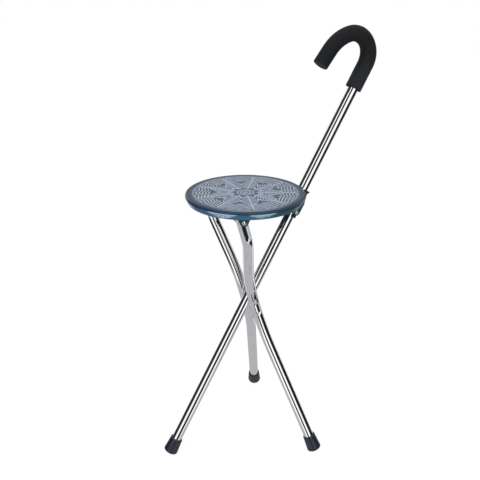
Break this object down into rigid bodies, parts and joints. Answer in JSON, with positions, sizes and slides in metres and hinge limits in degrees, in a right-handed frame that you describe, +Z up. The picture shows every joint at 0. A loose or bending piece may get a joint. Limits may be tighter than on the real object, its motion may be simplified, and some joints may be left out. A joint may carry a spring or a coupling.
{
  "type": "walking stick seat",
  "caption": "Folding cane stool: a crook-handled chrome cane crossed by two bent tube legs, with a round plastic seat that folds flat along the cane.",
  "frame": {"origin": "on the floor, at the bottom centre of the stool's box when it stands open", "axes": "+Z up; +X the way the top of the cane leans; the two legs spread along Y and mirror each other"},
  "size_m": [0.4356, 0.2728, 0.7868],
  "materials": {
    "chrome_tube": "mirror-bright chrome plate on steel tube",
    "bright_hardware": "bright plated rivet and bolt heads",
    "zinc_steel": "zinc-plated steel",
    "foam_grip": "matte closed-cell foam",
    "rubber_foot": "smooth moulded rubber, semi-matte",
    "black_plastic": "moulded black plastic",
    "natural_nylon": "natural nylon",
    "seat_top_plastic": "glossy blue-grey translucent plastic",
    "seat_base_plastic": "glossy translucent blue plastic"
  },
  "bodies": {
    "cane": {"cane_tube": "chrome_tube", "handle_grip": "foam_grip", "handle_end_plug": "black_plastic", "cane_ferrule": "rubber_foot", "cane_ferrule_washer": "zinc_steel", "hub_bolt": "bright_hardware", "hub_nut": "bright_hardware", "hub_washers": "bright_hardware", "hub_spacer_front": "natural_nylon", "hub_spacer_rear": "natural_nylon"},
    "leg_front": {"leg_front_tube": "chrome_tube", "leg_front_top_plug": "black_plastic", "leg_front_ferrule": "rubber_foot", "leg_front_ferrule_washer": "zinc_steel"},
    "leg_rear": {"leg_rear_tube": "chrome_tube", "leg_rear_top_plug": "black_plastic", "leg_rear_ferrule": "rubber_foot", "leg_rear_ferrule_washer": "zinc_steel"},
    "seat": {"seat_cover": "seat_top_plastic", "seat_base": "seat_base_plastic", "seat_screws": "zinc_steel", "leg_front_rivet": "bright_hardware", "leg_rear_rivet": "bright_hardware", "leg_front_rivet_washers": "natural_nylon", "leg_rear_rivet_washers": "natural_nylon", "guide_rivets": "bright_hardware"},
    "guide": {"cane_guide": "black_plastic"}
  },
  "joints": [
    {"name": "fold", "type": "hinge", "parent": "cane", "child": "leg_front", "pos_m": [-0.03321, 0, 0.31128], "axis": [0, 1, 0], "range_deg": [0, 38.6]},
    {"name": "leg_rear_fold", "type": "hinge", "parent": "cane", "child": "leg_rear", "pos_m": [-0.03321, 0, 0.31128], "axis": [0, 1, 0], "range_deg": [0, 38.6]},
    {"name": "seat_fold", "type": "hinge", "parent": "leg_front", "child": "seat", "pos_m": [-0.08428, 0, 0.4974], "axis": [0, -1, 0], "range_deg": [0, 101.71]},
    {"name": "guide_swivel", "type": "hinge", "parent": "seat", "child": "guide", "pos_m": [0.05661, 0, 0.4694], "axis": [0, 1, 0], "range_deg": [0, 63.11]}
  ],
  "couplings": [
    {"joint": "leg_rear_fold", "follows": "fold", "ratio": 1},
    {"joint": "seat_fold", "follows": "fold", "ratio": 2.6347},
    {"joint": "guide_swivel", "follows": "fold", "ratio": 1.6347}
  ]
}
